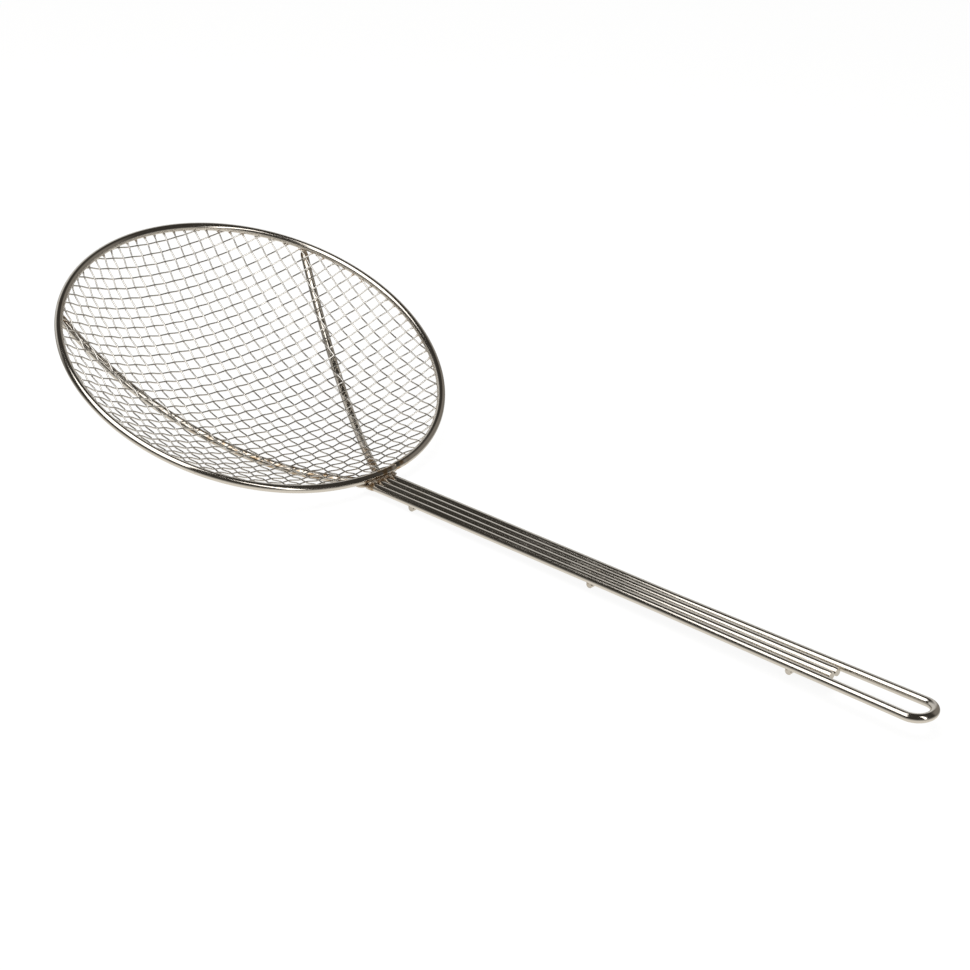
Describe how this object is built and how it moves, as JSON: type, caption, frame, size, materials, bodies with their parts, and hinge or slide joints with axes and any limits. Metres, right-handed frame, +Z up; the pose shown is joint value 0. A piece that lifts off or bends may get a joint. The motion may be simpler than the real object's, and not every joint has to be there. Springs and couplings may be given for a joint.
{
  "type": "mesh skimmer",
  "caption": "Round kitchen skimmer: a shallow woven wire dish in a hoop, carried by ribs and a long flat handle of parallel wires that ends in a hanging loop.",
  "frame": {"origin": "centre of the bounding box on the floor that the skimmer rests on", "axes": "+X along the handle from the dish to the hanging loop, +Z up, open side of the dish upwards"},
  "size_m": [0.517, 0.2032, 0.0882],
  "materials": {
    "plated_wire": "bright plated steel wire with slight heat tint at the welds",
    "woven_mesh": "bright plated woven steel wire"
  },
  "bodies": {
    "root": {"rim_hoop": "plated_wire", "mesh_dish": "woven_mesh", "handle_wire": "plated_wire", "rib_rod_left": "plated_wire", "rib_rod_right": "plated_wire", "cross_bar_front": "plated_wire", "cross_bar_middle": "plated_wire", "cross_bar_rear": "plated_wire"}
  },
  "joints": []
}
